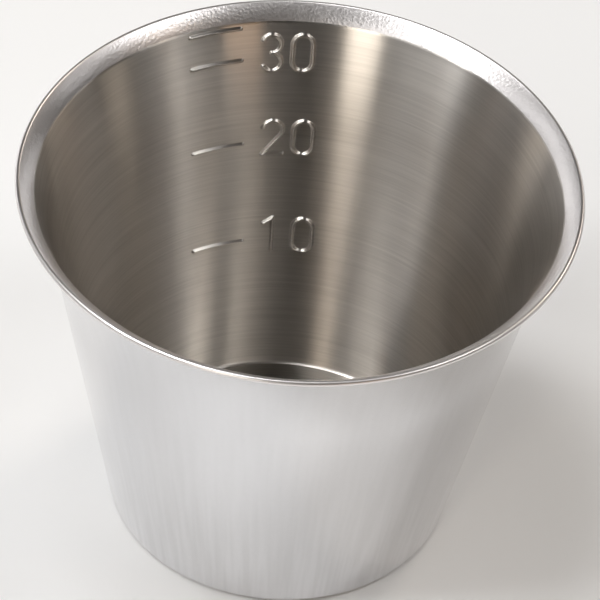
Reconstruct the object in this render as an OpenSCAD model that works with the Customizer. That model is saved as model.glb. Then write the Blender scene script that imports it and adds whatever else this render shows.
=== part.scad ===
// Graduated steel measuring cup: one drawn sheet with a flat floor, a tapered wall and a turned-out lip.
// The part stands on z = 0 with the cup's axis on z. The graduations are on the wall at +y.
// Lengths are in millimetres, angles in degrees.

/* [Cup] */
// Diameter over the lip
rim_d = 47.8; // [46:0.1:50]
// Height from the table to the top of the lip
cup_h = 35.5; // [34:0.1:40]
// Diameter of the foot, where the outside of the wall would meet the table
base_d = 29.7; // [28:0.1:32]
// Thickness of the steel sheet
sheet_t = 0.5; // [0.4:0.05:0.6]
// Outside radius of the corner between the floor and the wall
corner_r = 0.8; // [0.8:0.1:3]

/* [Mouth] */
// Radius of the gentle flare at the top of the wall, at the middle of the sheet
flare_r = 44; // [36:1:60]
// Turn of the sheet from upright at the end of the flare
flare_end = 23; // [20:1:26]
// Radius of the tight bend between the flare and the lip, at the middle of the sheet
bend_r = 0.6; // [0.5:0.1:1.2]
// Radius of the lip, at the middle of the sheet
lip_r = 7; // [5:0.5:12]
// Turn of the sheet from upright where the lip begins
lip_start = 41; // [36:1:46]
// Turn of the sheet from upright at the end of the lip
lip_end = 54; // [50:1:64]

/* [Graduations] */
// Volume in millilitres below the plain line under the lip
top_line_ml = 34; // [32:0.5:36]
// Angle from the middle of the back to the near end of the lines
line_turn = 16.6; // [14:0.1:25]
// Length of a line along the wall
line_len = 4.6; // [3:0.1:7]
// Space between a line and its first numeral
numeral_space = 1.6; // [0.6:0.1:2.5]
// Height of a numeral
numeral_h = 3.7; // [2.8:0.1:4]
// Width of a numeral
numeral_w = 2.15; // [1.6:0.05:2.6]
// Space between two numerals
numeral_gap = 0.55; // [0.3:0.05:1.5]
// Distance from the level of a line down to the foot of its numerals
numeral_drop = 1.3; // [0.5:0.1:2]
// Width of a stroke
stroke_w = 0.35; // [0.25:0.05:0.5]
// Height of a stroke above the inside of the wall
stroke_rise = 0.25; // [0.1:0.05:0.4]
// Depth of the groove that the punch leaves behind a stroke, on the outside of the wall
groove_depth = 0.2; // [0.1:0.05:0.3]

/* [Hidden] */

$fn = 180;
// Facets of the small round parts of a numeral
stroke_fn = 32;
// Corners of the polygon that cuts a sector out of a ring
wedge_steps = 12;
// Short cones that make up the flare, above the straight wall, the bend above it, and the round edge
flare_steps = 8;
bend_steps = 4;
edge_steps = 20;
// Slices of the sum that gives a volume, and halvings of the search that gives a level
volume_slices = 80;
level_halvings = 24;
mm3_per_ml = 1000;
// How far a groove's cutter starts outside the wall
cutter_reach = 1;
// Share of a numeral's height, from its foot and from its head, at which its flat face meets the wall
numeral_hold = 1 / 6;

// The numbered lines stand at one, two and three tens of millilitres
ten_ml = 10;
tens = [1, 2, 3];

half_t = sheet_t / 2;
rim_r = rim_d / 2;
base_r = base_d / 2;

// Direction from the centre of a curve to the sheet, where the sheet has turned by an angle from upright
function towards_sheet(turn) = [-cos(turn), sin(turn)];

// Centres of the round edge, the lip, the bend and the flare, each of which runs on into the next
edge_c = [rim_r - half_t, cup_h - half_t];
lip_c = edge_c - lip_r * towards_sheet(lip_end);
bend_c = lip_c + (lip_r - bend_r) * towards_sheet(lip_start);
flare_c = bend_c - (flare_r - bend_r) * towards_sheet(flare_end);
flare_in = flare_r + half_t;
flare_out = flare_r - half_t;

// The outside of the wall runs from the foot and touches the flare
foot_to_flare = flare_c - [base_r, 0];
taper = atan2(foot_to_flare.x, foot_to_flare.y) - asin(flare_out / norm(foot_to_flare));
wall_normal = [cos(taper), -sin(taper)];

// Centre and inside radius of the corner at the foot, which touches the table and the wall
corner_c = [base_r - corner_r * (1 - sin(taper)) / cos(taper), corner_r];
corner_in = corner_r - sheet_t;

// Ends of the straight wall, and the height at which the bend begins on the inside
foot_outside = corner_c + corner_r * wall_normal;
foot_inside = corner_c + corner_in * wall_normal;
top_inside = flare_c + flare_in * towards_sheet(taper);
bend_z = (flare_c + flare_in * towards_sheet(flare_end)).y;

// Inside radius of the cup at height z
function inside_r(z) =
    z < foot_inside.y ? corner_c.x + sqrt(max(0, pow(corner_in, 2) - pow(corner_r - z, 2))) :
    z < top_inside.y ? foot_inside.x + (z - foot_inside.y) * tan(taper) :
    flare_c.x - sqrt(pow(flare_in, 2) - pow(z - flare_c.y, 2));

// Turn of the inside from upright at height z
function inside_turn(z) = z < top_inside.y ? taper : asin((z - flare_c.y) / flare_in);

// Volume that the cup holds up to height z
function volume(z) =
    let (step = (z - sheet_t) / volume_slices)
    let (radii = [for (i = [0 : volume_slices - 1]) inside_r(sheet_t + (i + 0.5) * step)])
    PI * step * (radii * radii) / mm3_per_ml;

// Height up to which the cup holds a volume
function level(ml, low = sheet_t, high = bend_z, left = level_halvings) =
    let (middle = (low + high) / 2)
    left == 0 ? middle :
    volume(middle) < ml ? level(ml, middle, high, left - 1) :
    level(ml, low, middle, left - 1);

// A mark is drawn where its line lies on the wall, clear of the bend
function fits(ml) = ml < volume(bend_z - stroke_w / 2 * cos(flare_end));

// Angle round the axis that a length along the wall takes up at radius r
function arc_turn(length, r) = length / r * 180 / PI;

// Sector of a circle about the origin, from angle a to angle b
module wedge(a, b, reach) {
    polygon(concat([[0, 0]], [for (i = [0 : wedge_steps])
        let (angle = a + (b - a) * i / wedge_steps) reach * [cos(angle), sin(angle)]]));
}

// Sector of a ring about a centre, from angle a to angle b
module ring_sector(centre, inner, outer, a, b) {
    translate(centre)
        intersection() {
            difference() {
                circle(r = outer);
                circle(r = inner);
            }
            wedge(a, b, 2 * outer);
        }
}

// Points of the flare and the bend, a depth away from the middle of the sheet towards the inside
function mouth_points(depth) = concat(
    [for (i = [0 : flare_steps])
        flare_c + (flare_r + depth) * towards_sheet(taper + (flare_end - taper) * i / flare_steps)],
    [for (i = [1 : bend_steps])
        bend_c + (bend_r + depth) * towards_sheet(flare_end + (lip_start - flare_end) * i / bend_steps)]);

// Section of the wall: straight, then turned out to where the lip begins
module wall_section() {
    outside = mouth_points(-half_t);
    inside = mouth_points(half_t);
    inside_down = [for (i = [len(inside) - 1 : -1 : 0]) inside[i]];
    polygon(concat([foot_inside, foot_outside], outside, inside_down));
}

// Straight stroke with round ends
module bar(from, to) {
    run = to - from;
    translate(from)
        rotate(atan2(run.y, run.x))
            translate([0, -stroke_w / 2])
                square([norm(run), stroke_w]);
    for (end = [from, to])
        translate(end)
            circle(d = stroke_w, $fn = stroke_fn);
}

// Curved stroke with round ends, from angle a to angle b on a circle of radius r
module bow(centre, r, a, b) {
    ring_sector(centre, r - stroke_w / 2, r + stroke_w / 2, a, b);
    for (angle = [a, b])
        translate(centre + r * [cos(angle), sin(angle)])
            circle(d = stroke_w, $fn = stroke_fn);
}

// Numerals stand on y = 0 with their middle at x = 0. Their strokes' middle lines keep these limits.
side_x = (numeral_w - stroke_w) / 2;
foot_y = stroke_w / 2;
head_y = numeral_h - stroke_w / 2;

module round_ended(width, low, high) {
    for (y = [low + width / 2, high - width / 2])
        translate([0, y])
            circle(d = width, $fn = stroke_fn);
    translate([-width / 2, low + width / 2])
        square([width, high - low - width]);
}

module numeral_zero() {
    difference() {
        round_ended(numeral_w, 0, numeral_h);
        round_ended(numeral_w - 2 * stroke_w, stroke_w, numeral_h - stroke_w);
    }
}

// The flag of the one runs out and down from the head of its stem
flag_run = [0.9, 0.6] * side_x;

module numeral_one() {
    bar([0, foot_y], [0, head_y]);
    bar([0, head_y], [0, head_y] - flag_run);
}

// The diagonal of the two touches the bow at its head
two_c = [0, head_y - side_x];
two_corner = [-side_x, foot_y];
two_lean = two_corner - two_c;
two_touch = atan2(two_lean.y, two_lean.x) + acos(side_x / norm(two_lean));
two_open = 165;

module numeral_two() {
    bow(two_c, side_x, two_touch, two_open);
    bar(two_c + side_x * [cos(two_touch), sin(two_touch)], two_corner);
    bar(two_corner, [side_x, foot_y]);
}

// The three is two equal bows that meet at half height
three_r = (head_y - foot_y) / 4;
three_open = 155;

module numeral_three() {
    bow([0, head_y - three_r], three_r, -90, three_open);
    bow([0, foot_y + three_r], three_r, -three_open, 90);
}

module numeral(n) {
    if (n == 0) numeral_zero();
    if (n == 1) numeral_one();
    if (n == 2) numeral_two();
    if (n == 3) numeral_three();
}

// Line along the wall at height z, between two depths measured inwards from the inside of the sheet
module line(z, from, to) {
    r = inside_r(z);
    rotate([0, 0, 90 + line_turn])
        rotate_extrude(angle = arc_turn(line_len, r))
            translate([r, z])
                rotate(180 - inside_turn(z))
                    translate([from, -stroke_w / 2])
                        square([to - from, stroke_w]);
}

// Numeral n beside the line at height z, in the place counted from the line. It is flat, and leans as the wall does.
module placed_numeral(n, place, z, from, to) {
    low_z = z + (numeral_hold * numeral_h - numeral_drop) * cos(taper);
    high_z = low_z + (1 - 2 * numeral_hold) * numeral_h * cos(taper);
    low_r = inside_r(low_z);
    lean = atan2(inside_r(high_z) - low_r, high_z - low_z);
    offset_along = numeral_space + numeral_w / 2 + place * (numeral_w + numeral_gap);
    rotate([0, 0, line_turn - arc_turn(offset_along, inside_r(z))])
        translate([0, low_r, low_z])
            rotate([90 - lean, 0, 0])
                translate([0, -numeral_hold * numeral_h, from])
                    linear_extrude(to - from)
                        numeral(n);
}

// All lines and numerals, between two depths measured inwards from the inside of the sheet
module graduations(from, to) {
    for (ten = tens)
        if (fits(ten * ten_ml)) {
            z = level(ten * ten_ml);
            line(z, from, to);
            placed_numeral(ten, 0, z, from, to);
            placed_numeral(0, 1, z, from, to);
        }
    if (fits(top_line_ml))
        line(level(top_line_ml), from, to);
}

// Flat floor that the cup stands on
module floor_disc() {
    color("silver")
        cylinder(r = corner_c.x, h = sheet_t);
}

// Rounded corner that leads from the floor to the wall
module base_corner() {
    color("lightgrey")
        rotate_extrude()
            ring_sector(corner_c, corner_in, corner_r, -90, -taper);
}

// Tapered wall with the flare and the bend. The strokes are raised on the inside and sunk on the outside.
module side_wall() {
    color("gainsboro")
        difference() {
            union() {
                rotate_extrude()
                    wall_section();
                graduations(-half_t, stroke_rise);
            }
            graduations(-sheet_t - cutter_reach, groove_depth - sheet_t);
        }
}

// Turned-out lip round the mouth
module lip() {
    color("whitesmoke")
        rotate_extrude()
            ring_sector(lip_c, lip_r - half_t, lip_r + half_t, 180 - lip_end, 180 - lip_start);
}

// Rounded edge of the sheet at the end of the lip
module lip_edge() {
    color("darkgrey")
        rotate_extrude()
            polygon([for (i = [0 : edge_steps])
                let (angle = 180 - lip_end - 180 * i / edge_steps) edge_c + half_t * [cos(angle), sin(angle)]]);
}

floor_disc();
base_corner();
side_wall();
lip();
lip_edge();
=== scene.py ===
# %% [markdown]
# # A graduated steel measuring cup
#
# The cup is one sheet of stainless steel, drawn into a tapered bowl with a turned-out lip. Raised lines and
# numerals are pressed into its back wall. Everything else about it is turned on one axis, so the whole shape
# is a single line, the middle of the sheet, spun about z. This lesson draws that line, gives it the thickness
# of the sheet, presses in the marks, and then spends its time on what makes steel look like steel: how each
# zone was finished, and what stands around it to be reflected.

import math

import bpy
import numpy as np
from mathutils import Matrix, Vector


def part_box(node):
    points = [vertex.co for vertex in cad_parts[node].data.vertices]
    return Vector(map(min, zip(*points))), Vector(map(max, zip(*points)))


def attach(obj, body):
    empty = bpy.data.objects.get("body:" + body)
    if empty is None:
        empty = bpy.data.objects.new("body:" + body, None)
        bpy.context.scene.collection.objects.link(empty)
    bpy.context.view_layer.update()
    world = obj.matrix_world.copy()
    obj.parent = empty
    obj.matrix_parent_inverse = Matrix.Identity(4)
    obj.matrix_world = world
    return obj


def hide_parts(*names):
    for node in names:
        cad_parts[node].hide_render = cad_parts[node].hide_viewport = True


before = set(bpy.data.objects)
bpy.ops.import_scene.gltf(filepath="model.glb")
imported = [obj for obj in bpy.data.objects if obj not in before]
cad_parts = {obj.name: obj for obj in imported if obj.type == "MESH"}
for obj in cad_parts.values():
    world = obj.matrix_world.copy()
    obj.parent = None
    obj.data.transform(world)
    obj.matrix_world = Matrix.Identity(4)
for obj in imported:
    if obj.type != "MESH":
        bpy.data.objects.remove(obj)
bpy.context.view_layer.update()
mm = 0.001
print("nodes in the frame:", sorted(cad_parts))

# %% [markdown]
# ## The line of the sheet
#
# Four sizes come from the frame: the radius and height of the lip, the thickness of the sheet and the radius
# of the flat floor. From the mouth down, the line is a short lip, a tight bend, a gentle flare, a straight
# wall and a small corner. Each runs on into the next without a kink, so the curves follow from one another,
# and the straight wall is the line that touches the corner's circle on one side and the flare's on the other.

# %% Sizes of the cup
edge_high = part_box("lip_edge")[1]
floor_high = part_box("floor_disc")[1]
rim_r = edge_high.x
cup_h = edge_high.z
sheet = floor_high.z
floor_r = floor_high.x
half = sheet / 2
corner_r = 0.8 * mm
flare_r = 44 * mm
flare_end = math.radians(23)
bend_r = 0.6 * mm
lip_r = 7 * mm
lip_start = math.radians(41)
lip_end = math.radians(54)


def to_sheet(turn):
    """Direction from a curve's centre to the sheet, where the sheet has turned by an angle from upright."""
    return np.array([-math.cos(turn), math.sin(turn)])


edge_c = np.array([rim_r - half, cup_h - half])
lip_c = edge_c - lip_r * to_sheet(lip_end)
bend_c = lip_c + (lip_r - bend_r) * to_sheet(lip_start)
flare_c = bend_c - (flare_r - bend_r) * to_sheet(flare_end)
corner_c = np.array([floor_r, corner_r])
span = flare_c - corner_c
taper = math.atan2(span[0], span[1]) - math.asin((corner_r + flare_r - half) / np.hypot(*span))
print(f"rim {2 * rim_r / mm:.1f} mm, height {cup_h / mm:.1f} mm, "
      f"wall leans {math.degrees(taper):.2f} degrees")

# %% [markdown]
# A station is a point on the middle of the sheet with the direction that faces into the cup. Half the
# thickness to either side of it lie the two skins of the sheet. Stations are kept as rows of four numbers:
# radius, height, and the facing direction's radius and height.

# %% Stations along the sheet
wall_face = to_sheet(taper)
wall_foot = corner_c - (corner_r - half) * wall_face
straight_top = flare_c + flare_r * wall_face
straight_len = np.hypot(*(straight_top - wall_foot))
smooth_len = straight_len + flare_r * (flare_end - taper)
wall_len = smooth_len + bend_r * (lip_start - flare_end)


def floor_stations(count):
    """Stations on the floor, from the axis outwards."""
    r = np.linspace(0, floor_r, count)
    return np.column_stack([r, np.full(count, half), np.zeros(count), np.ones(count)])


def corner_stations(count):
    """Stations round the corner, from the floor to the foot of the wall."""
    a = np.linspace(-math.pi / 2, -taper, count)
    out = np.column_stack([np.cos(a), np.sin(a)])
    return np.column_stack([corner_c + (corner_r - half) * out, -out])


def curve_stations(centre, radius, turns):
    """Stations on a curve of the upper wall or the lip, where the sheet has turned by given angles."""
    face = np.column_stack([-np.cos(turns), np.sin(turns)])
    return np.column_stack([centre + radius * face, face])


def wall_stations(along):
    """Stations on the wall at lengths along the sheet, counted from the foot."""
    along = np.atleast_1d(along)
    straight = wall_foot + np.outer(along / straight_len, straight_top - wall_foot)
    straight = np.column_stack([straight, np.tile(wall_face, (len(along), 1))])
    flare = curve_stations(flare_c, flare_r, taper + (along - straight_len) / flare_r)
    bend = curve_stations(bend_c, bend_r, flare_end + (along - smooth_len) / bend_r)
    upper = np.where((along > smooth_len)[:, None], bend, flare)
    return np.where((along > straight_len)[:, None], upper, straight)


print(f"straight wall {straight_len / mm:.2f} mm, flare {(smooth_len - straight_len) / mm:.2f} mm, "
      f"bend {(wall_len - smooth_len) / mm:.2f} mm")

# %% [markdown]
# ## From a line to a solid
#
# A Screw or Spin modifier would turn the line into a skin, but the smooth normals would then be averaged from
# the faces, and a mirror shows every error in a normal. The line's own facing directions are exact, so the
# mesh is built one face at a time and each corner of each face is given the true normal. Every zone is closed
# by caps at its ends, so that each piece is a solid.

# %% Turn a zone of the sheet about the axis
columns = 180
round_angle = np.linspace(0, 2 * math.pi, columns, endpoint=False)
floor_rings = 12
corner_rings = 13
lip_rings = 9
INSIDE, OUTSIDE = 0, 1


def spun(r, z, angle):
    """Radii and heights carried round the axis: a row for each of them, a column for each angle."""
    east = np.outer(r, np.sin(angle))
    north = np.outer(r, np.cos(angle))
    return np.stack([east, north, np.outer(z, np.ones_like(angle))], -1)


def turned(station_rows, depth, angle):
    """Points at a depth from the middle of the sheet, one for each station and angle."""
    r = station_rows[:, 0] + depth * station_rows[:, 2]
    z = station_rows[:, 1] + depth * station_rows[:, 3]
    return spun(r, z, angle)


class Skin:
    """Faces gathered one patch at a time, with a normal for each corner and a finish for each face."""

    def __init__(self):
        self.faces = []
        self.normals = []
        self.finish = []

    def add(self, face, corner_normals, finish):
        self.faces.append([int(i) for i in face])
        self.normals.extend(corner_normals)
        self.finish.append(finish)

    def add_flat(self, face, points, finish):
        """A flat face, whose corners all take the normal of the face."""
        across = np.cross(points[face[1]] - points[face[0]], points[face[2]] - points[face[1]])
        self.add(face, [across / np.linalg.norm(across)] * len(face), finish)


def make_piece(name, points, faces, normals, material_of_face):
    """A mesh object whose corners carry the given normals."""
    mesh = bpy.data.meshes.new(name)
    mesh.from_pydata([tuple(p) for p in points], [], faces)
    mesh.polygons.foreach_set("use_smooth", [True] * len(faces))
    mesh.polygons.foreach_set("material_index", material_of_face)
    mesh.normals_split_custom_set([tuple(n) for n in normals])
    mesh.update()
    piece = bpy.data.objects.new(name, mesh)
    bpy.context.scene.collection.objects.link(piece)
    print(f"{name}: {len(points)} points, {len(faces)} faces")
    return piece


def turned_zone(name, station_rows):
    """A closed ring, or a disc if its first station is on the axis, from stations along the sheet."""
    rows = len(station_rows)
    skins = [turned(station_rows, half, round_angle), turned(station_rows, -half, round_angle)]
    points = np.concatenate(skins).reshape(-1, 3)
    face_to = spun(station_rows[:, 2], station_rows[:, 3], round_angle)
    index = np.arange(2 * rows * columns).reshape(2 * rows, columns)
    on_axis = station_rows[0, 0] < half
    if on_axis:
        index[0, :] = index[0, 0]
        index[rows, :] = index[rows, 0]
    skin = Skin()
    for k in range(columns):
        n = (k + 1) % columns
        for j in range(rows - 1):
            ring = [(j, k), (j, n), (j + 1, n), (j + 1, k)]
            if on_axis and j == 0:
                ring = [(j, k), (j + 1, n), (j + 1, k)]
            skin.add([index[c] for c in ring], [face_to[c] for c in ring], INSIDE)
            ring = ring[::-1]
            skin.add([index[c[0] + rows, c[1]] for c in ring], [-face_to[c] for c in ring], OUTSIDE)
        for j in ([rows - 1] if on_axis else [0, rows - 1]):
            cap = [index[j, k], index[j, n], index[j + rows, n], index[j + rows, k]]
            skin.add_flat(cap[::-1] if j == 0 else cap, points, OUTSIDE)
    used = np.unique(np.concatenate([np.array(f) for f in skin.faces]))
    renumber = np.zeros(index.size, int)
    renumber[used] = np.arange(len(used))
    faces = [[int(renumber[i]) for i in f] for f in skin.faces]
    return make_piece(name, points[used], faces, skin.normals, skin.finish)


floor_plate = turned_zone("floor_plate", floor_stations(floor_rings))
foot_corner = turned_zone("foot_corner", corner_stations(corner_rings))
lip_turns = np.linspace(lip_start, lip_end, lip_rings)
lip_band = turned_zone("lip_band", curve_stations(lip_c, lip_r, lip_turns))

# %% [markdown]
# ## The rounded edge
#
# A cut edge of thin sheet would be sharp, so the maker smooths it. The edge is half a circle as thick as the
# sheet, and a flat ring closes it where it meets the lip. A Bevel modifier could round a cut edge too, but it
# would move the lip's own end, and here the two pieces have to meet exactly.

# %% Edge of the lip
edge_steps = 20


def rounded_edge(name):
    """Half a circle at the end of the sheet, spun about the axis."""
    ahead = math.pi / 2 - lip_end
    a = np.linspace(ahead + math.pi / 2, ahead - math.pi / 2, edge_steps + 1)
    face = np.column_stack([np.cos(a), np.sin(a)])
    section = edge_c + half * face
    points = spun(section[:, 0], section[:, 1], round_angle).reshape(-1, 3)
    normal = spun(face[:, 0], face[:, 1], round_angle).reshape(-1, 3)
    index = np.arange(len(points)).reshape(edge_steps + 1, columns)
    skin = Skin()
    for k in range(columns):
        n = (k + 1) % columns
        for j in range(edge_steps):
            ring = [index[j, k], index[j, n], index[j + 1, n], index[j + 1, k]]
            skin.add(ring, [normal[i] for i in ring], INSIDE)
        skin.add_flat([index[0, n], index[0, k], index[-1, k], index[-1, n]], points, INSIDE)
    return make_piece(name, points, skin.faces, skin.normals, skin.finish)


lip_rim = rounded_edge("lip_rim")

# %% [markdown]
# ## Where the marks stand
#
# A graduation is a promise: the cup filled to the line holds that much. So the height of each line is worked
# out from the inside of the cup, by adding up thin discs of liquid from the floor upwards and reading off the
# height where the sum reaches ten, twenty, thirty and thirty-four millilitres.

# %% Levels of the graduations
ml = 1e-6
numbered_ml = [10, 20, 30]
plain_ml = [34]
corner_samples = 200
wall_samples = 2000
smooth_wall = wall_stations(np.linspace(0, smooth_len, wall_samples))
whole_wall = np.concatenate([corner_stations(corner_samples), smooth_wall])
inside_r = whole_wall[:, 0] + half * whole_wall[:, 2]
inside_z = whole_wall[:, 1] + half * whole_wall[:, 3]
slices = math.pi * (inside_r[1:] ** 2 + inside_r[:-1] ** 2) / 2 * np.diff(inside_z)
held = np.concatenate([[0], np.cumsum(slices)]) / ml


def level_of(volume):
    """Height on the inside up to which the cup holds a volume in millilitres."""
    return float(np.interp(volume, held, inside_z))


fine_along = np.linspace(0, wall_len, wall_samples)
fine_wall = wall_stations(fine_along)
fine_z = fine_wall[:, 1] + half * fine_wall[:, 3]
fine_r = fine_wall[:, 0] + half * fine_wall[:, 2]


def along_of(volume):
    """Length along the sheet from the foot of the wall to that level."""
    return float(np.interp(level_of(volume), fine_z, fine_along))


for volume in numbered_ml + plain_ml:
    print(f"{volume} ml stands {level_of(volume) / mm:.2f} mm above the table")

# %% [markdown]
# ## Strokes
#
# A numeral is drawn the way a punch cutter would lay it out: a few straight bars and round bows, given by
# their middle lines. The distance from a point on the wall to the nearest middle line then says how high the
# steel is raised there. A text object and a Boolean would give sharp walls and a tangled mesh. This way the
# ridges come out round, and the normals follow from the slope of the same function.

# %% Middle lines of the numerals
numeral_h = 3.7 * mm
numeral_w = 2.15 * mm
stroke_w = 0.35 * mm
side = (numeral_w - stroke_w) / 2
foot = stroke_w / 2
head = numeral_h - stroke_w / 2
flag_reach, flag_drop = 0.9, 0.6
hook_of_two, hook_of_three = 165, 155


def bar(x0, y0, x1, y1):
    """A straight stroke between two points."""
    return ("bar", (x0, y0), (x1, y1))


def bow(x, y, r, a0, a1):
    """A round stroke about a centre, from one angle in degrees to another."""
    return ("bow", (x, y), r, math.radians(a0), math.radians(a1))


def two():
    """A bow over the top, and a slanting bar that leaves it without a kink."""
    lean = np.array([-side, foot - (head - side)])
    touch = math.degrees(math.atan2(lean[1], lean[0]) + math.acos(side / np.hypot(*lean)))
    end = (side * math.cos(math.radians(touch)), head - side + side * math.sin(math.radians(touch)))
    arch = bow(0, head - side, side, touch, hook_of_two)
    return [arch, bar(*end, -side, foot), bar(-side, foot, side, foot)]


def three():
    """Two bows, one on the other."""
    r = (head - foot) / 4
    return [bow(0, head - r, r, -90, hook_of_three), bow(0, foot + r, r, -hook_of_three, 90)]


strokes_of = {
    0: [bow(0, head - side, side, 0, 180), bow(0, foot + side, side, -180, 0),
        bar(-side, foot + side, -side, head - side), bar(side, foot + side, side, head - side)],
    1: [bar(0, foot, 0, head), bar(0, head, -flag_reach * side, head - flag_drop * side)],
    2: two(),
    3: three(),
}
print({n: len(s) for n, s in strokes_of.items()}, "strokes in each numeral")

# %% [markdown]
# ## How far a point is from a stroke
#
# The nearest point of a bar is found by sliding along it and stopping at its ends. The nearest point of a bow
# lies straight out from its centre, unless that is beyond the bow, and then the nearer end counts. The ends
# of every stroke come out round by this, as a punch would leave them.

# %% Distance from points to a stroke


def distance_to(stroke, x, y):
    if stroke[0] == "bar":
        (x0, y0), (x1, y1) = stroke[1:]
        dx, dy = x1 - x0, y1 - y0
        t = np.clip(((x - x0) * dx + (y - y0) * dy) / (dx * dx + dy * dy), 0, 1)
        return np.hypot(x - x0 - t * dx, y - y0 - t * dy)
    (cx, cy), r, a0, a1 = stroke[1:]
    turn = np.mod(np.arctan2(y - cy, x - cx) - a0, 2 * math.pi)
    on_arc = np.abs(np.hypot(x - cx, y - cy) - r)
    ends = [np.hypot(x - cx - r * math.cos(a), y - cy - r * math.sin(a)) for a in (a0, a1)]
    return np.where(turn <= a1 - a0, on_arc, np.minimum(*ends))


beside = distance_to(strokes_of[1][0], side, numeral_h / 2)
print(f"a point {side / mm:.2f} mm beside the 1 is {beside / mm:.2f} mm from its upright")

# %% [markdown]
# ## Laying the marks out
#
# Each line ends a little to the left of the middle of the back wall and runs on to the left. Its numerals
# stand to the right of that end, with their feet below the line, so that the line points at them about a
# third of the way up. Distances across are measured over the wall, so the numerals follow its curve.

# %% Lay the marks out on the wall
line_turn = math.radians(16.6)
line_len = 4.6 * mm
numeral_space = 1.6 * mm
numeral_gap = 0.55 * mm
numeral_drop = 1.3 * mm
far_away = 1.0


def marks():
    """Length along the sheet, angle and strokes of each mark. Angles run from the back to the right."""
    found = []
    for volume in numbered_ml + plain_ml:
        along = along_of(volume)
        r = float(np.interp(along, fine_along, fine_r))
        found.append((along, -line_turn, [bar(-line_len, 0, 0, 0)]))
        if volume in numbered_ml:
            for place, numeral in enumerate([volume // 10, 0]):
                across = numeral_space + numeral_w / 2 + place * (numeral_w + numeral_gap)
                found.append((along - numeral_drop, across / r - line_turn, strokes_of[numeral]))
    return found


all_marks = marks()


def nearest_stroke(along, angle):
    """Distance over the wall from each point to the middle line of the nearest stroke."""
    r = np.interp(along, fine_along, fine_r)
    best = np.full(np.shape(along), far_away)
    for mark_along, mark_angle, strokes in all_marks:
        x = r * (angle - mark_angle)
        y = along - mark_along
        for stroke in strokes:
            best = np.minimum(best, distance_to(stroke, x, y))
    return best


print(len(all_marks), "marks on the wall")

# %% [markdown]
# ## Pressing the strokes
#
# The punch worked from outside, so the steel stands up inside the cup along each stroke, and behind each
# ridge the outer skin is sunk. Across a stroke the ridge is a round hump that runs out flat at its sides.

# %% Heights of the pressed strokes
ridge_rise = 0.25 * mm
groove_depth = 0.2 * mm
ridge_half_w = 0.2 * mm
hump_power = 1.3
slope_step = 0.01 * mm


def pressed(along, angle):
    """From 0 on the plain wall to 1 on the middle line of a stroke."""
    q = np.clip(nearest_stroke(along, angle) / ridge_half_w, 0, 1)
    return (1 - q * q) ** hump_power


def wall_skin(along, angle, depth, press):
    """Points and normals of one skin of the wall. Both skins move inwards where a stroke is pressed."""
    station = wall_stations(along)
    r = station[:, 0]
    aside = slope_step / r
    lift = press * pressed(along, angle)
    up_change = pressed(along + slope_step, angle) - pressed(along - slope_step, angle)
    side_change = pressed(along, angle + aside) - pressed(along, angle - aside)
    up_slope = press * up_change / (2 * slope_step)
    side_slope = press * side_change / (2 * slope_step)
    s, c = np.sin(angle), np.cos(angle)
    face = np.column_stack([station[:, 2] * s, station[:, 2] * c, station[:, 3]])
    up = np.column_stack([station[:, 3] * s, station[:, 3] * c, -station[:, 2]])
    side_way = np.column_stack([c, -s, np.zeros_like(s)])
    middle = np.column_stack([r * s, r * c, station[:, 1]])
    points = middle + (depth + lift)[:, None] * face
    normal = face - up_slope[:, None] * up - side_slope[:, None] * side_way
    normal /= np.linalg.norm(normal, axis=1)[:, None]
    return points, normal * math.copysign(1, depth)


print(f"ridges {2 * ridge_half_w / mm:.1f} mm wide rise {ridge_rise / mm:.2f} mm from the wall")

# %% [markdown]
# ## The wall
#
# The marks need a mesh of about a twentieth of a millimetre, and the rest of the wall can be twelve times
# coarser. A Subdivision or Multires modifier would refine everything, so the wall is a coarse grid in which
# only the cells near a stroke are divided. A coarse cell beside a fine one simply takes the extra points into
# its outline, which leaves no cracks.

# %% Build the wall
smooth_rows, bend_rows = 50, 3
cell_rows = smooth_rows + bend_rows
fine = 12
n_cols, n_rows = columns * fine, cell_rows * fine
marked_from, marked_to = math.radians(-38), math.radians(12)
ridge_margin = 1.3


def cells_near_strokes(along, angle):
    """Which coarse cells have a stroke in them or close by."""
    near = np.zeros((cell_rows, columns), bool)
    some = np.where((angle > marked_from) & (angle < marked_to))[0]
    grid_along, grid_angle = np.meshgrid(along, angle[some], indexing="ij")
    close = nearest_stroke(grid_along, grid_angle) < ridge_margin * ridge_half_w
    for j, i in zip(*np.where(close)):
        near[min(j // fine, cell_rows - 1), some[i] // fine] = True
    return near


def points_in_use(near):
    """Which points of the fine grid are needed: the corners of coarse cells, and all of the divided ones."""
    used = np.zeros((n_rows + 1, n_cols), bool)
    used[::fine, ::fine] = True
    for j, i in zip(*np.where(near)):
        last = (i + 1) * fine % n_cols
        used[j * fine:(j + 1) * fine + 1, i * fine:(i + 1) * fine] = True
        used[j * fine:(j + 1) * fine + 1, last] = True
    return used


def cell_rings(j, i, near, number):
    """The faces of a coarse cell: small squares near a stroke, or one outline with its neighbours' points."""
    j0, j1, i0 = j * fine, (j + 1) * fine, i * fine
    if near[j, i]:
        for b in range(j0, j1):
            for a in range(i0, i0 + fine):
                n = (a + 1) % n_cols
                yield [number[b, a], number[b, n], number[b + 1, n], number[b + 1, a]]
        return
    low = [(j0, i0 + k) for k in range(fine)]
    right = [(j0 + k, i0 + fine) for k in range(fine)]
    high = [(j1, i0 + fine - k) for k in range(fine)]
    left = [(j1 - k, i0) for k in range(fine)]
    ring = [number[b, a % n_cols] for b, a in low + right + high + left]
    yield [k for k in ring if k >= 0]


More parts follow.
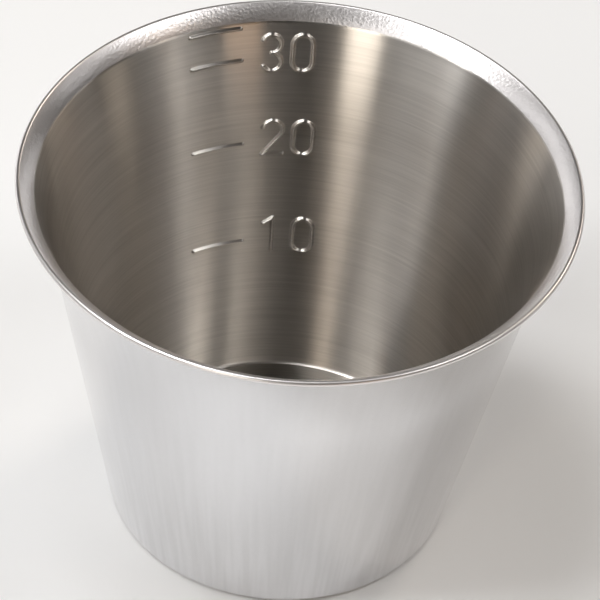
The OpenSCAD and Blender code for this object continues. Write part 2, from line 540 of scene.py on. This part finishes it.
def wall_piece(name):
    """Both skins of the wall, closed by caps at its foot and at the lip."""
    angle = np.linspace(0, 2 * math.pi, n_cols, endpoint=False)
    angle = np.where(angle > math.pi, angle - 2 * math.pi, angle)
    along = np.concatenate([np.linspace(0, smooth_len, smooth_rows * fine, endpoint=False),
                            np.linspace(smooth_len, wall_len, bend_rows * fine + 1)])
    near = cells_near_strokes(along, angle)
    used = points_in_use(near)
    rows, cols = np.where(used)
    number = np.full(used.shape, -1)
    number[rows, cols] = np.arange(len(rows))
    behind = len(rows)
    inner_points, inner_normals = wall_skin(along[rows], angle[cols], half, ridge_rise)
    outer_points, outer_normals = wall_skin(along[rows], angle[cols], -half, groove_depth)
    points = np.concatenate([inner_points, outer_points])
    normals = np.concatenate([inner_normals, outer_normals])
    skin = Skin()
    for j in range(cell_rows):
        for i in range(columns):
            for ring in cell_rings(j, i, near, number):
                skin.add(ring, normals[ring], INSIDE)
                ring = [k + behind for k in ring[::-1]]
                skin.add(ring, normals[ring], OUTSIDE)
    for j, flip in ((0, True), (n_rows, False)):
        ring = [int(k) for k in number[j][used[j]]]
        for a, b in zip(ring, ring[1:] + ring[:1]):
            cap = [a, b, b + behind, a + behind]
            skin.add_flat(cap[::-1] if flip else cap, points, OUTSIDE)
    return make_piece(name, points, skin.faces, skin.normals, skin.finish)


side_wall = wall_piece("wall")

# %% [markdown]
# ## The camera
#
# The photograph was taken from well above the rim with a long lens: the near and far sides of the rim are
# almost equally curved. The rim's ellipse gives the height of the view, its tilt gives the roll of the
# camera, and the outline of the wall settles the distance. A camera could be turned by a Track To constraint,
# but that leaves no roll, so its axes are written into its matrix.

# %% Camera
view_height = math.radians(43.27)
view_roll = math.radians(4.62)
view_away = 0.4133
lens_mm = 290.7
sensor_mm = 36
eye = Vector((0, -view_away * math.cos(view_height), rim_r + view_away * math.sin(view_height)))
look_at = Vector((0.712 * mm, 0, 22.075 * mm))
ahead = (look_at - eye).normalized()
level = ahead.cross(Vector((0, 0, 1))).normalized()
upright = level.cross(ahead)
right = math.cos(view_roll) * level + math.sin(view_roll) * upright
above = math.cos(view_roll) * upright - math.sin(view_roll) * level
camera = bpy.data.objects.new("camera", bpy.data.cameras.new("camera"))
camera.matrix_world = Matrix.Translation(eye) @ Matrix([right, above, -ahead]).transposed().to_4x4()
camera.data.lens = lens_mm
camera.data.sensor_width = sensor_mm
camera.data.clip_start = 0.01
camera.data.clip_end = 100
bpy.context.scene.collection.objects.link(camera)
bpy.context.scene.camera = camera
print(f"camera {view_away / mm:.0f} mm away, {math.degrees(view_height):.1f} degrees above the table")

# %% [markdown]
# ## Writing materials as sums
#
# Node trees are easier to read as expressions. A Value holds one output socket, and adding or multiplying
# Values adds Math nodes. Every other node comes from one method, node(), which sets the node's settings
# first and then fills its sockets with numbers or links.

# %% Values and node trees


class Value:
    """An output socket with arithmetic."""

    def __init__(self, book, socket):
        self.book = book
        self.socket = socket

    def math(self, operation, first, second=0.0):
        return self.book.node("Math", {"operation": operation}, {0: first, 1: second})

    def __add__(self, other):
        return self.math("ADD", self, other)

    def __sub__(self, other):
        return self.math("SUBTRACT", self, other)

    def __rsub__(self, other):
        return self.math("SUBTRACT", other, self)

    def __mul__(self, other):
        return self.math("MULTIPLY", self, other)

    def __truediv__(self, other):
        return self.math("DIVIDE", self, other)

    def __pow__(self, other):
        return self.math("POWER", self, other)

    __radd__ = __add__
    __rmul__ = __mul__


class NodeBook:
    """A node tree that is written one node at a time."""

    def __init__(self, tree):
        self.tree = tree
        self.tree.nodes.clear()

    def node(self, kind, settings=None, sockets=None, output=0):
        """Any node, by the end of its type's name. Gives one of its outputs as a Value, if it has any."""
        node = self.tree.nodes.new("ShaderNode" + kind)
        for key, value in (settings or {}).items():
            setattr(node, key, value)
        for key, value in (sockets or {}).items():
            if isinstance(value, Value):
                self.tree.links.new(value.socket, node.inputs[key])
            else:
                node.inputs[key].default_value = value
        return Value(self, node.outputs[output]) if node.outputs else node

    def other(self, value, name):
        """Another output of the node that a value comes from."""
        return Value(self, value.socket.node.outputs[name])


def new_finish(name):
    material = bpy.data.materials.new(name)
    material.use_nodes = True
    return material, NodeBook(material.node_tree)


# %% [markdown]
# ## Where the finishes live
#
# Brushing and polishing follow the way the cup turns, so the finishes are drawn in the cup's own coordinates:
# millimetres of height, millimetres from the axis, and a point on the unit circle for the direction. A point
# on the circle is used rather than an angle because it has no seam where the angle would jump.

# %% Coordinates of the turned sheet
mm_per_m = 1000.0
tiny = 1e-6
line_roughness = 0.6


class Turned:
    """Height and radius in millimetres, and the direction round the axis, as Values of one node book."""

    def __init__(self, book):
        self.book = book
        self.place = book.node("TexCoord", output="Object")
        x = book.node("SeparateXYZ", sockets={0: self.place})
        y = book.other(x, "Y")
        self.height = book.other(x, "Z") * mm_per_m
        self.radius = (x * x + y * y) ** 0.5 * mm_per_m
        self.east = x * mm_per_m / (self.radius + tiny)
        self.north = y * mm_per_m / (self.radius + tiny)

    def vector(self, x, y, z):
        return self.book.node("CombineXYZ", sockets={0: x, 1: y, 2: z})

    def noise(self, vector, detail=2.0, roughness=0.5):
        settings = {"noise_dimensions": "3D", "normalize": True}
        sockets = {"Vector": vector, "Scale": 1.0, "Detail": detail, "Roughness": roughness}
        return self.book.node("TexNoise", settings, sockets)

    def lines(self, across, per_turn, per_mm, detail):
        """Noise that changes slowly round the cup and fast across, so that it reads as lines."""
        reach = per_turn / (2 * math.pi)
        vector = self.vector(self.east * reach, self.north * reach, across * per_mm)
        return self.noise(vector, detail, line_roughness)

    def round_lines(self, per_turn, per_mm, detail=2.0):
        """Fine lines that run round the wall, one above the other."""
        return self.lines(self.height, per_turn, per_mm, detail)

    def rings(self, per_turn, per_mm, detail=2.0):
        """The same on a flat face, where the lines step outwards with the radius."""
        return self.lines(self.radius, per_turn, per_mm, detail)

    def grains(self, per_mm, detail=1.0):
        """Grains that are as long as they are wide."""
        sockets = {0: self.place, "Scale": mm_per_m * per_mm}
        return self.noise(self.book.node("VectorMath", {"operation": "SCALE"}, sockets), detail)


def stretched(book, value, low, high):
    """A value spread out so that low becomes 0 and high becomes 1."""
    return book.node("MapRange", sockets={"Value": value, "From Min": low, "From Max": high})


def tinted(book, amount, dark, light):
    """A colour between two, by a value from 0 to 1."""
    return book.node("Mix", {"data_type": "RGBA"}, {"Factor": amount, 6: dark, 7: light}, output=2)


def bumped(book, height, reach_mm, strength):
    """A normal from a height that reaches so many millimetres."""
    return book.node("Bump", sockets={"Height": height, "Distance": reach_mm * mm, "Strength": strength})


def steel(book, colour, roughness, normal, anisotropic=0.0, turn=0.0):
    """Bare metal. Anisotropic steel draws its reflections out, across the lines at a quarter turn."""
    sockets = {"Base Color": colour, "Metallic": 1.0, "Roughness": roughness, "Anisotropic": anisotropic,
               "Anisotropic Rotation": turn, "Normal": normal}
    shader = book.node("BsdfPrincipled", sockets=sockets)
    book.node("OutputMaterial", sockets={"Surface": shader})


def shown(material):
    """The material, after a line that says how large its node tree is."""
    print(f"{material.name}: {len(material.node_tree.nodes)} nodes")
    return material


# %% [markdown]
# ## Brushed inside
#
# The inside was brushed while the cup turned on a chuck, so fine lines run round it. Light spreads across
# such lines, not along them, which is what draws every reflection out into an upright band. Thousands of
# real grooves would cost a huge mesh, so the Principled shader's anisotropy does the spreading, and noise
# drawn out round the cup gives the lines that can be seen.

# %% Brushed inside of the wall
pale_steel = (0.735, 0.7, 0.66, 1)
deep_steel = (0.505, 0.48, 0.45, 1)
hair_share, sweep_share = 0.7, 0.3
quarter_turn = 0.25


def brushed_inside():
    material, book = new_finish("brushed_inside")
    cup = Turned(book)
    hair = stretched(book, cup.round_lines(per_turn=10, per_mm=5.0, detail=4.0), low=0.2, high=0.8)
    sweep = cup.round_lines(per_turn=9, per_mm=0.7)
    colour = tinted(book, hair * hair_share + sweep * sweep_share, deep_steel, pale_steel)
    roughness = 0.275 + 0.02 * hair
    normal = bumped(book, hair, reach_mm=0.006, strength=0.25)
    steel(book, colour, roughness, normal, anisotropic=1.0, turn=quarter_turn)
    return material


finish_inside = shown(brushed_inside())

# %% [markdown]
# ## Polished outside
#
# The outside is the side that is looked at, so it was polished almost to a mirror, and what the mirror shows
# is the pale table. It is not blank, though. Fine streaks run up from the foot and fade by about half the
# height: they are the mirror image of a ribbed white sheet. A fine grain softens the mirror unevenly. Both
# are
# drawn in the finish: the streaks are a painted reflection, noise drawn out along the height in the colour
# and the bump, with less and less say further up, and the grain is the steel's own uneven tone.

# %% Polished outside
# The darker colour is where the steel's grain and the painted reflection of the streaks fall.
cool_steel = (0.78, 0.78, 0.795, 1)
grain_and_reflection_dark_steel = (0.7, 0.7, 0.71, 1)
streaks_round = 30
streaks_up = 0.1
streaks_end = 18.0
streaks_left = 0.25
grain_share = 0.3
middle_tone = 0.5


def polished_outside():
    material, book = new_finish("polished_outside")
    cup = Turned(book)
    upright_place = cup.vector(cup.east * streaks_round, cup.north * streaks_round, cup.height * streaks_up)
    # Painted reflection: upright streaks that mirror a ribbed white sheet, strongest at the foot and fading
    # upwards.
    painted_streak_reflection = stretched(book, cup.noise(upright_place, detail=1.0), low=0.3, high=0.7)
    fade = {"Value": cup.height, "From Max": streaks_end, "To Min": 1.0, "To Max": streaks_left}
    low = book.node("MapRange", sockets=fade)
    grain = cup.grains(per_mm=3.0)
    # The colour mixes the painted reflection of the streaks with the steel's own grain.
    tone = middle_tone + low * (painted_streak_reflection - middle_tone) + grain_share * (grain - middle_tone)
    colour = tinted(book, tone, grain_and_reflection_dark_steel, cool_steel)
    roughness = 0.1 + 0.06 * grain
    normal = bumped(book, low * painted_streak_reflection + grain * 0.5, reach_mm=0.002, strength=0.1)
    steel(book, colour, roughness, normal)
    return material


finish_outside = shown(polished_outside())

# %% [markdown]
# ## Satin lip
#
# The lip was blasted to a fine pebble before the edge was smoothed. The pebbles are about a quarter of a
# millimetre across and far lower than that, so they are a bump and not a mesh. The edge itself was rubbed
# smooth as the cup turned, which leaves short lines round it.

# %% Lip and edge
satin_steel = (0.78, 0.755, 0.75, 1)
dull_steel = (0.72, 0.69, 0.685, 1)


def pebbled_lip():
    material, book = new_finish("pebbled_lip")
    cup = Turned(book)
    pebble = cup.grains(per_mm=4.0, detail=2.0)
    colour = tinted(book, pebble, dull_steel, satin_steel)
    roughness = 0.28 + 0.1 * pebble
    steel(book, colour, roughness, bumped(book, pebble, reach_mm=0.05, strength=0.5))
    return material


def smoothed_edge():
    material, book = new_finish("smoothed_edge")
    cup = Turned(book)
    rub = cup.round_lines(per_turn=30, per_mm=5.0)
    colour = tinted(book, rub, dull_steel, satin_steel)
    roughness = 0.3 + 0.08 * rub
    steel(book, colour, roughness, bumped(book, rub, reach_mm=0.005, strength=0.15))
    return material


finish_lip = shown(pebbled_lip())
finish_edge = shown(smoothed_edge())

# %% [markdown]
# ## Turned floor
#
# The floor was polished as the cup turned, so its lines are rings about the axis. Rings need the radius
# where the wall's lines need the height. The floor lies in the shade of the wall, and its colours are darker
# than the wall's: that darkness is painted shade, not a darker steel.

# %% Floor
# Both floor colours carry painted shade: the shade of the wall, painted into the floor's steel.
floor_steel = (0.46, 0.44, 0.41, 1)
shaded_steel = (0.3, 0.285, 0.265, 1)


def turned_floor():
    material, book = new_finish("turned_floor")
    cup = Turned(book)
    ring = cup.rings(per_turn=20, per_mm=6.0, detail=3.0)
    colour = tinted(book, ring, shaded_steel, floor_steel)
    roughness = 0.12 + 0.08 * ring
    normal = bumped(book, ring, reach_mm=0.01, strength=0.15)
    steel(book, colour, roughness, normal, anisotropic=0.6, turn=quarter_turn)
    return material


finish_floor = shown(turned_floor())

# %% [markdown]
# ## Putting the finishes on and fitting the pieces to the frame
#
# Each piece takes two finishes: the first for its faces inside the cup, the second for the rest. It stands
# for one solid of the frame, whose mesh it hides, and rides on the only body.

# %% Dress and fit the pieces
fitted = [
    (floor_plate, "floor_disc", "floor_steel", finish_floor, finish_outside),
    (foot_corner, "base_corner", "corner_steel", finish_inside, finish_outside),
    (side_wall, "side_wall", "wall_steel", finish_inside, finish_outside),
    (lip_band, "lip", "lip_steel", finish_lip, finish_outside),
    (lip_rim, "lip_edge", "edge_steel", finish_edge, finish_outside),
]
for piece, node, slot, inner, outer in fitted:
    piece.data.materials.append(inner)
    piece.data.materials.append(outer)
    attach(piece, "root")
    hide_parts(node)
print(len(fitted), "pieces stand for the solids of the frame")

# %% [markdown]
# ## The table
#
# The table is a plain white sheet. It matters more than it seems, because the outside of the cup leans over
# it and shows hardly anything else. Paper is never quite even, so its white wanders a little.

# %% Table
table_r = 6.0
plain_white = (0.93, 0.93, 0.93, 1)
faint_white = (0.91, 0.91, 0.91, 1)
blotches_per_m = 8.0
table = bpy.data.meshes.new("table")
table_front = [(-table_r, -table_r, 0), (table_r, -table_r, 0)]
table_back = [(table_r, table_r, 0), (-table_r, table_r, 0)]
table.from_pydata(table_front + table_back, [], [(0, 1, 2, 3)])
table_top = bpy.data.objects.new("table_top", table)
bpy.context.scene.collection.objects.link(table_top)
white, book = new_finish("white_table")
sheet_place = book.node("TexCoord", output="Object")
blotch = book.node("TexNoise", sockets={"Vector": sheet_place, "Scale": blotches_per_m})
paper = book.node("BsdfDiffuse", sockets={"Color": tinted(book, blotch, faint_white, plain_white)})
book.node("OutputMaterial", sockets={"Surface": paper})
table.materials.append(white)
print(f"table {2 * table_r:.0f} m wide")

# %% [markdown]
# ## The studio
#
# Steel has little colour of its own: it shows the room. The inside is brushed round, so every soft box is
# drawn out into an upright band, and the place of the band on the wall tells where its box stands, because
# the wall there faces halfway between the box and the camera. The wide box and the tall strip on the left
# make the grey bands to the right of the numerals, the low warm strip in front the cream band beside them,
# and the box on the right the pale band on the left. Low panels at the back and on the left are what the
# lip shows. The room itself is dim, which keeps the rest of the inside dark. An area lamp's power is spread
# over its size, so each box is given as a brightness, and one level for all of them keeps the white table
# just under white.

# %% Room and lamps
room_tone = (0.85, 0.78, 0.7, 1)
room_glow = 0.05
room = bpy.data.worlds.new("room")
room.use_nodes = True
bpy.context.scene.world = room
book = NodeBook(room.node_tree)
dim = book.node("Background", sockets={"Color": room_tone, "Strength": room_glow})
book.node("OutputWorld", sockets={"Surface": dim})
box_away = 1.0
lamp_level = 0.9


def soft_box(name, turn, rise, wide, tall, glow, tint=(1, 1, 1)):
    """A soft box seen from the cup in a direction, so wide and so tall in degrees, with a brightness."""
    lamp = bpy.data.lights.new(name, "AREA")
    lamp.shape = "RECTANGLE"
    lamp.size = 2 * box_away * math.tan(math.radians(wide / 2))
    lamp.size_y = 2 * box_away * math.tan(math.radians(tall / 2))
    lamp.energy = lamp_level * glow * math.pi * lamp.size * lamp.size_y
    lamp.color = tint
    turn, rise = math.radians(turn), math.radians(rise)
    way = Vector((math.cos(rise) * math.cos(turn), math.cos(rise) * math.sin(turn), math.sin(rise)))
    box = bpy.data.objects.new(name, lamp)
    box.location = way * box_away + Vector((0, 0, cup_h / 2))
    box.rotation_euler = way.to_track_quat("Z", "Y").to_euler()
    bpy.context.scene.collection.objects.link(box)


soft_box("key_strip", turn=202, rise=51, wide=5.2, tall=38, glow=17.0)
soft_box("key_wide", turn=226, rise=45, wide=37, tall=14, glow=2.1)
soft_box("key_high", turn=163, rise=70, wide=11, tall=32, glow=9.5)
soft_box("left_panel", turn=167, rise=27, wide=37, tall=10, glow=2.0)
soft_box("left_wall", turn=126, rise=4.6, wide=46, tall=8, glow=2.4)
soft_box("left_low", turn=146, rise=14, wide=28, tall=11, glow=1.1)
soft_box("cream_strip", turn=249, rise=21, wide=13, tall=24, glow=5.6, tint=(1, 0.92, 0.81))
soft_box("tan_strip", turn=298, rise=12, wide=14, tall=16, glow=1.6, tint=(1, 0.68, 0.45))
soft_box("right_box", turn=352, rise=58, wide=16, tall=19, glow=6.6)
soft_box("right_strip", turn=338, rise=43, wide=6, tall=10, glow=4.6, tint=(1, 0.8, 0.62))
soft_box("right_panel", turn=17, rise=32, wide=9, tall=8, glow=2.6)
soft_box("back_box", turn=51, rise=44, wide=13, tall=12, glow=11.0, tint=(1, 0.9, 0.79))
soft_box("back_wall", turn=66, rise=4.6, wide=50, tall=8, glow=2.0)
soft_box("top", turn=150, rise=80, wide=14, tall=18, glow=2.3)
bpy.context.scene.view_settings.view_transform = "Standard"
print(len(bpy.data.lights), "soft boxes round the cup")
